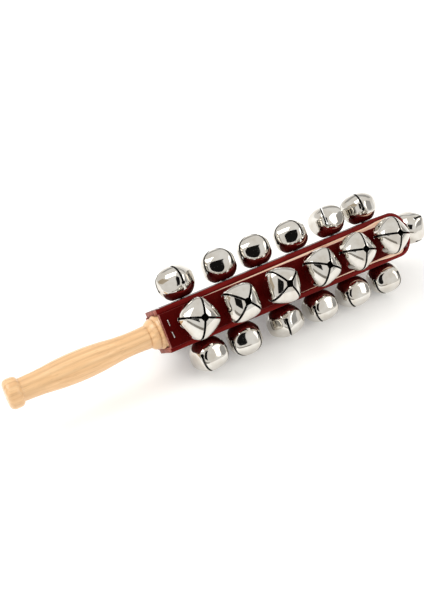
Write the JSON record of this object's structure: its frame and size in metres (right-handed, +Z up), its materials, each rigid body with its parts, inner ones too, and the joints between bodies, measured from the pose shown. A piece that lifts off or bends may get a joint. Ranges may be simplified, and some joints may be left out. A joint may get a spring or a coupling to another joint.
{
  "type": "sleigh bells",
  "caption": "Hand-held sleigh bells: slotted round metal bells riveted along leather straps that wrap a square wooden core, with a turned wooden handle and a bell on the tip.",
  "frame": {"origin": "on the table under the middle of the part's box, lying on its two lower rows of bells", "axes": "+X along the stick from the butt of the handle to the tip bell, +Z up; the rows of bells face 45 degrees up and down on both sides"},
  "size_m": [0.3158, 0.0642, 0.0648],
  "materials": {
    "wood": "satin",
    "leather": "gloss",
    "staple_wire": "satin",
    "rivet_steel": "satin",
    "bell_metal": "polished",
    "pellet_steel": "satin"
  },
  "bodies": {
    "stick": {"handle_core": "wood", "strap_front_back": "leather", "strap_top_bottom": "leather", "staples": "staple_wire", "rivets_front": "rivet_steel", "rivets_top": "rivet_steel", "rivets_back": "rivet_steel", "rivets_bottom": "rivet_steel", "rivet_tip": "rivet_steel"},
    "bell_front_1": {"bell_front_1": "bell_metal"},
    "bell_front_2": {"bell_front_2": "bell_metal"},
    "bell_front_3": {"bell_front_3": "bell_metal"},
    "bell_front_4": {"bell_front_4": "bell_metal"},
    "bell_front_5": {"bell_front_5": "bell_metal"},
    "bell_front_6": {"bell_front_6": "bell_metal"},
    "bell_top_1": {"bell_top_1": "bell_metal"},
    "bell_top_2": {"bell_top_2": "bell_metal"},
    "bell_top_3": {"bell_top_3": "bell_metal"},
    "bell_top_4": {"bell_top_4": "bell_metal"},
    "bell_top_5": {"bell_top_5": "bell_metal"},
    "bell_top_6": {"bell_top_6": "bell_metal"},
    "bell_back_1": {"bell_back_1": "bell_metal"},
    "bell_back_2": {"bell_back_2": "bell_metal"},
    "bell_back_3": {"bell_back_3": "bell_metal"},
    "bell_back_4": {"bell_back_4": "bell_metal"},
    "bell_back_5": {"bell_back_5": "bell_metal"},
    "bell_back_6": {"bell_back_6": "bell_metal"},
    "bell_bottom_1": {"bell_bottom_1": "bell_metal"},
    "bell_bottom_2": {"bell_bottom_2": "bell_metal"},
    "bell_bottom_3": {"bell_bottom_3": "bell_metal"},
    "bell_bottom_4": {"bell_bottom_4": "bell_metal"},
    "bell_bottom_5": {"bell_bottom_5": "bell_metal"},
    "bell_bottom_6": {"bell_bottom_6": "bell_metal"},
    "bell_tip": {"bell_tip": "bell_metal"},
    "pellet_front_1": {"pellet_front_1": "pellet_steel"},
    "pellet_front_2": {"pellet_front_2": "pellet_steel"},
    "pellet_front_3": {"pellet_front_3": "pellet_steel"},
    "pellet_front_4": {"pellet_front_4": "pellet_steel"},
    "pellet_front_5": {"pellet_front_5": "pellet_steel"},
    "pellet_front_6": {"pellet_front_6": "pellet_steel"},
    "pellet_top_1": {"pellet_top_1": "pellet_steel"},
    "pellet_top_2": {"pellet_top_2": "pellet_steel"},
    "pellet_top_3": {"pellet_top_3": "pellet_steel"},
    "pellet_top_4": {"pellet_top_4": "pellet_steel"},
    "pellet_top_5": {"pellet_top_5": "pellet_steel"},
    "pellet_top_6": {"pellet_top_6": "pellet_steel"},
    "pellet_back_1": {"pellet_back_1": "pellet_steel"},
    "pellet_back_2": {"pellet_back_2": "pellet_steel"},
    "pellet_back_3": {"pellet_back_3": "pellet_steel"},
    "pellet_back_4": {"pellet_back_4": "pellet_steel"},
    "pellet_back_5": {"pellet_back_5": "pellet_steel"},
    "pellet_back_6": {"pellet_back_6": "pellet_steel"},
    "pellet_bottom_1": {"pellet_bottom_1": "pellet_steel"},
    "pellet_bottom_2": {"pellet_bottom_2": "pellet_steel"},
    "pellet_bottom_3": {"pellet_bottom_3": "pellet_steel"},
    "pellet_bottom_4": {"pellet_bottom_4": "pellet_steel"},
    "pellet_bottom_5": {"pellet_bottom_5": "pellet_steel"},
    "pellet_bottom_6": {"pellet_bottom_6": "pellet_steel"},
    "pellet_tip": {"pellet_tip": "pellet_steel"}
  },
  "joints": [
    {"name": "swivel_front_1", "type": "hinge", "parent": "stick", "child": "bell_front_1", "pos_m": [-0.04475, -0.01838, 0.04982], "axis": [-0.014, -0.707, 0.707], "continuous": true},
    {"name": "swivel_front_2", "type": "hinge", "parent": "stick", "child": "bell_front_2", "pos_m": [-0.01575, -0.01937, 0.0494], "axis": [-0.014, -0.707, 0.707], "continuous": true},
    {"name": "swivel_front_3", "type": "hinge", "parent": "stick", "child": "bell_front_3", "pos_m": [0.01474, -0.01968, 0.0497], "axis": [-0.014, -0.707, 0.707], "continuous": true},
    {"name": "swivel_front_4", "type": "hinge", "parent": "stick", "child": "bell_front_4", "pos_m": [0.04624, -0.01928, 0.05072], "axis": [-0.014, -0.707, 0.707], "continuous": true},
    {"name": "swivel_front_5", "type": "hinge", "parent": "stick", "child": "bell_front_5", "pos_m": [0.07624, -0.01922, 0.05137], "axis": [-0.014, -0.707, 0.707], "continuous": true},
    {"name": "swivel_front_6", "type": "hinge", "parent": "stick", "child": "bell_front_6", "pos_m": [0.10674, -0.01882, 0.05238], "axis": [-0.014, -0.707, 0.707], "continuous": true},
    {"name": "swivel_top_1", "type": "hinge", "parent": "stick", "child": "bell_top_1", "pos_m": [-0.04075, 0.01779, 0.04985], "axis": [-0.014, 0.707, 0.707], "continuous": true},
    {"name": "swivel_top_2", "type": "hinge", "parent": "stick", "child": "bell_top_2", "pos_m": [-0.00875, 0.01846, 0.04982], "axis": [-0.014, 0.707, 0.707], "continuous": true},
    {"name": "swivel_top_3", "type": "hinge", "parent": "stick", "child": "bell_top_3", "pos_m": [0.01874, 0.01838, 0.05044], "axis": [-0.014, 0.707, 0.707], "continuous": true},
    {"name": "swivel_top_4", "type": "hinge", "parent": "stick", "child": "bell_top_4", "pos_m": [0.04874, 0.01833, 0.0511], "axis": [-0.014, 0.707, 0.707], "continuous": true},
    {"name": "swivel_top_5", "type": "hinge", "parent": "stick", "child": "bell_top_5", "pos_m": [0.08124, 0.01936, 0.05071], "axis": [-0.014, 0.707, 0.707], "continuous": true},
    {"name": "swivel_top_6", "type": "hinge", "parent": "stick", "child": "bell_top_6", "pos_m": [0.11023, 0.01929, 0.05135], "axis": [-0.014, 0.707, 0.707], "continuous": true},
    {"name": "swivel_back_1", "type": "hinge", "parent": "stick", "child": "bell_back_1", "pos_m": [-0.04375, 0.01741, 0.01332], "axis": [-0.014, 0.707, -0.707], "continuous": true},
    {"name": "swivel_back_2", "type": "hinge", "parent": "stick", "child": "bell_back_2", "pos_m": [-0.01525, 0.01805, 0.01339], "axis": [-0.014, 0.707, -0.707], "continuous": true},
    {"name": "swivel_back_3", "type": "hinge", "parent": "stick", "child": "bell_back_3", "pos_m": [0.01674, 0.01907, 0.01378], "axis": [-0.014, 0.707, -0.707], "continuous": true},
    {"name": "swivel_back_4", "type": "hinge", "parent": "stick", "child": "bell_back_4", "pos_m": [0.04574, 0.0183, 0.01243], "axis": [-0.014, 0.707, -0.707], "continuous": true},
    {"name": "swivel_back_5", "type": "hinge", "parent": "stick", "child": "bell_back_5", "pos_m": [0.07424, 0.01893, 0.0125], "axis": [-0.014, 0.707, -0.707], "continuous": true},
    {"name": "swivel_back_6", "type": "hinge", "parent": "stick", "child": "bell_back_6", "pos_m": [0.10624, 0.0196, 0.01254], "axis": [-0.014, 0.707, -0.707], "continuous": true},
    {"name": "swivel_bottom_1", "type": "hinge", "parent": "stick", "child": "bell_bottom_1", "pos_m": [-0.03725, -0.01845, 0.01361], "axis": [-0.014, -0.707, -0.707], "continuous": true},
    {"name": "swivel_bottom_2", "type": "hinge", "parent": "stick", "child": "bell_bottom_2", "pos_m": [-0.01075, -0.01907, 0.0137], "axis": [-0.014, -0.707, -0.707], "continuous": true},
    {"name": "swivel_bottom_3", "type": "hinge", "parent": "stick", "child": "bell_bottom_3", "pos_m": [0.02224, -0.01869, 0.01266], "axis": [-0.014, -0.707, -0.707], "continuous": true},
    {"name": "swivel_bottom_4", "type": "hinge", "parent": "stick", "child": "bell_bottom_4", "pos_m": [0.05124, -0.01933, 0.01273], "axis": [-0.014, -0.707, -0.707], "continuous": true},
    {"name": "swivel_bottom_5", "type": "hinge", "parent": "stick", "child": "bell_bottom_5", "pos_m": [0.08024, -0.01997, 0.0128], "axis": [-0.014, -0.707, -0.707], "continuous": true},
    {"name": "swivel_bottom_6", "type": "hinge", "parent": "stick", "child": "bell_bottom_6", "pos_m": [0.10973, -0.01991, 0.01215], "axis": [-0.014, -0.707, -0.707], "continuous": true},
    {"name": "swivel_tip", "type": "hinge", "parent": "stick", "child": "bell_tip", "pos_m": [0.14822, -0.00031, 0.03175], "axis": [1, 0, 0], "continuous": true},
    {"name": "rattle_front_1", "type": "slide", "parent": "stick", "child": "pellet_front_1", "axis": [0, 0, 1], "range_m": [0, 0.014]},
    {"name": "rattle_front_2", "type": "slide", "parent": "stick", "child": "pellet_front_2", "axis": [0, 0, 1], "range_m": [0, 0.014]},
    {"name": "rattle_front_3", "type": "slide", "parent": "stick", "child": "pellet_front_3", "axis": [0, 0, 1], "range_m": [0, 0.014]},
    {"name": "rattle_front_4", "type": "slide", "parent": "stick", "child": "pellet_front_4", "axis": [0, 0, 1], "range_m": [0, 0.014]},
    {"name": "rattle_front_5", "type": "slide", "parent": "stick", "child": "pellet_front_5", "axis": [0, 0, 1], "range_m": [0, 0.014]},
    {"name": "rattle_front_6", "type": "slide", "parent": "stick", "child": "pellet_front_6", "axis": [0, 0, 1], "range_m": [0, 0.014]},
    {"name": "rattle_top_1", "type": "slide", "parent": "stick", "child": "pellet_top_1", "axis": [0, 0, 1], "range_m": [0, 0.014]},
    {"name": "rattle_top_2", "type": "slide", "parent": "stick", "child": "pellet_top_2", "axis": [0, 0, 1], "range_m": [0, 0.014]},
    {"name": "rattle_top_3", "type": "slide", "parent": "stick", "child": "pellet_top_3", "axis": [0, 0, 1], "range_m": [0, 0.014]},
    {"name": "rattle_top_4", "type": "slide", "parent": "stick", "child": "pellet_top_4", "axis": [0, 0, 1], "range_m": [0, 0.014]},
    {"name": "rattle_top_5", "type": "slide", "parent": "stick", "child": "pellet_top_5", "axis": [0, 0, 1], "range_m": [0, 0.014]},
    {"name": "rattle_top_6", "type": "slide", "parent": "stick", "child": "pellet_top_6", "axis": [0, 0, 1], "range_m": [0, 0.014]},
    {"name": "rattle_back_1", "type": "slide", "parent": "stick", "child": "pellet_back_1", "axis": [0, 0, 1], "range_m": [0, 0.012]},
    {"name": "rattle_back_2", "type": "slide", "parent": "stick", "child": "pellet_back_2", "axis": [0, 0, 1], "range_m": [0, 0.012]},
    {"name": "rattle_back_3", "type": "slide", "parent": "stick", "child": "pellet_back_3", "axis": [0, 0, 1], "range_m": [0, 0.012]},
    {"name": "rattle_back_4", "type": "slide", "parent": "stick", "child": "pellet_back_4", "axis": [0, 0, 1], "range_m": [0, 0.012]},
    {"name": "rattle_back_5", "type": "slide", "parent": "stick", "child": "pellet_back_5", "axis": [0, 0, 1], "range_m": [0, 0.012]},
    {"name": "rattle_back_6", "type": "slide", "parent": "stick", "child": "pellet_back_6", "axis": [0, 0, 1], "range_m": [0, 0.012]},
    {"name": "rattle_bottom_1", "type": "slide", "parent": "stick", "child": "pellet_bottom_1", "axis": [0, 0, 1], "range_m": [0, 0.012]},
    {"name": "rattle_bottom_2", "type": "slide", "parent": "stick", "child": "pellet_bottom_2", "axis": [0, 0, 1], "range_m": [0, 0.012]},
    {"name": "rattle_bottom_3", "type": "slide", "parent": "stick", "child": "pellet_bottom_3", "axis": [0, 0, 1], "range_m": [0, 0.012]},
    {"name": "rattle_bottom_4", "type": "slide", "parent": "stick", "child": "pellet_bottom_4", "axis": [0, 0, 1], "range_m": [0, 0.012]},
    {"name": "rattle_bottom_5", "type": "slide", "parent": "stick", "child": "pellet_bottom_5", "axis": [0, 0, 1], "range_m": [0, 0.012]},
    {"name": "rattle_bottom_6", "type": "slide", "parent": "stick", "child": "pellet_bottom_6", "axis": [0, 0, 1], "range_m": [0, 0.012]},
    {"name": "rattle_tip", "type": "slide", "parent": "stick", "child": "pellet_tip", "axis": [0, 0, 1], "range_m": [0, 0.013]}
  ]
}
